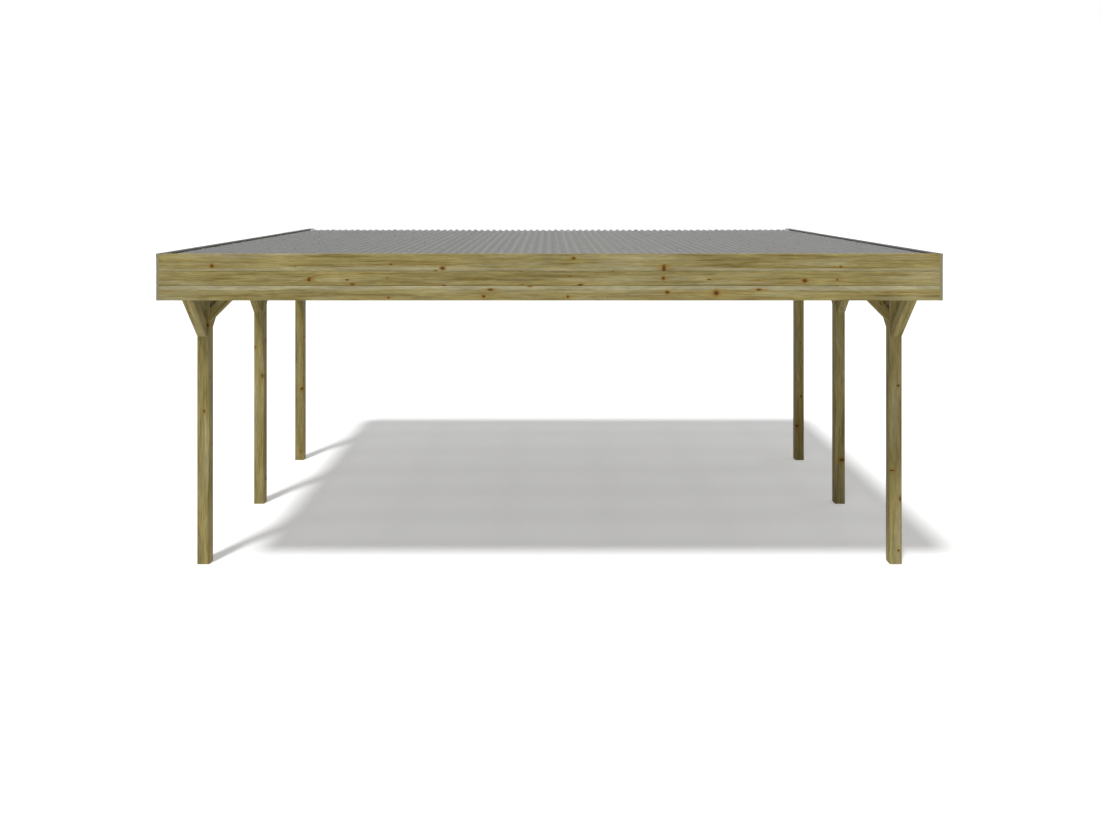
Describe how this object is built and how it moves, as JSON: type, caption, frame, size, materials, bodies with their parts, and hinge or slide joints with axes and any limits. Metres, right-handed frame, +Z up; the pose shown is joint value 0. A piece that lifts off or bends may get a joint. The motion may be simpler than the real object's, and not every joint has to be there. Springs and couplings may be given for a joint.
{
  "type": "carport",
  "caption": "Open timber carport with square posts, knee braces, boarded fascias and a level roof of lapped corrugated sheets between folded verge trims.",
  "frame": {"origin": "on the ground, in the middle of the roof's outline", "axes": "+X across the carport to the right seen from the front, front faces -Y, +Z up"},
  "size_m": [5.933, 4.6703, 2.6285],
  "materials": {
    "treated_pine": "planed, pressure treated",
    "roof_sheet": "smooth smoke-grey sheet that lets some light through",
    "verge_trim": "satin dark grey"
  },
  "bodies": {
    "root": {"front_fascia": "treated_pine", "left_batten": "treated_pine", "left_beam": "treated_pine", "left_fascia": "treated_pine", "left_front_brace_forward": "treated_pine", "left_front_brace_inward": "treated_pine", "left_front_brace_rearward": "treated_pine", "left_front_post": "treated_pine", "left_middle_brace_forward": "treated_pine", "left_middle_brace_inward": "treated_pine", "left_middle_brace_rearward": "treated_pine", "left_middle_post": "treated_pine", "left_rear_brace_forward": "treated_pine", "left_rear_brace_inward": "treated_pine", "left_rear_brace_rearward": "treated_pine", "left_rear_post": "treated_pine", "left_verge_trim": "verge_trim", "rafter_1": "treated_pine", "rafter_2": "treated_pine", "rafter_3": "treated_pine", "rafter_4": "treated_pine", "rafter_5": "treated_pine", "rafter_6": "treated_pine", "rafter_7": "treated_pine", "rear_fascia": "treated_pine", "right_batten": "treated_pine", "right_beam": "treated_pine", "right_fascia": "treated_pine", "right_front_brace_forward": "treated_pine", "right_front_brace_inward": "treated_pine", "right_front_brace_rearward": "treated_pine", "right_front_post": "treated_pine", "right_middle_brace_forward": "treated_pine", "right_middle_brace_inward": "treated_pine", "right_middle_brace_rearward": "treated_pine", "right_middle_post": "treated_pine", "right_rear_brace_forward": "treated_pine", "right_rear_brace_inward": "treated_pine", "right_rear_brace_rearward": "treated_pine", "right_rear_post": "treated_pine", "right_verge_trim": "verge_trim", "roof_sheet_1": "roof_sheet", "roof_sheet_2": "roof_sheet", "roof_sheet_3": "roof_sheet", "roof_sheet_4": "roof_sheet", "roof_sheet_5": "roof_sheet", "roof_sheet_6": "roof_sheet"}
  },
  "joints": []
}
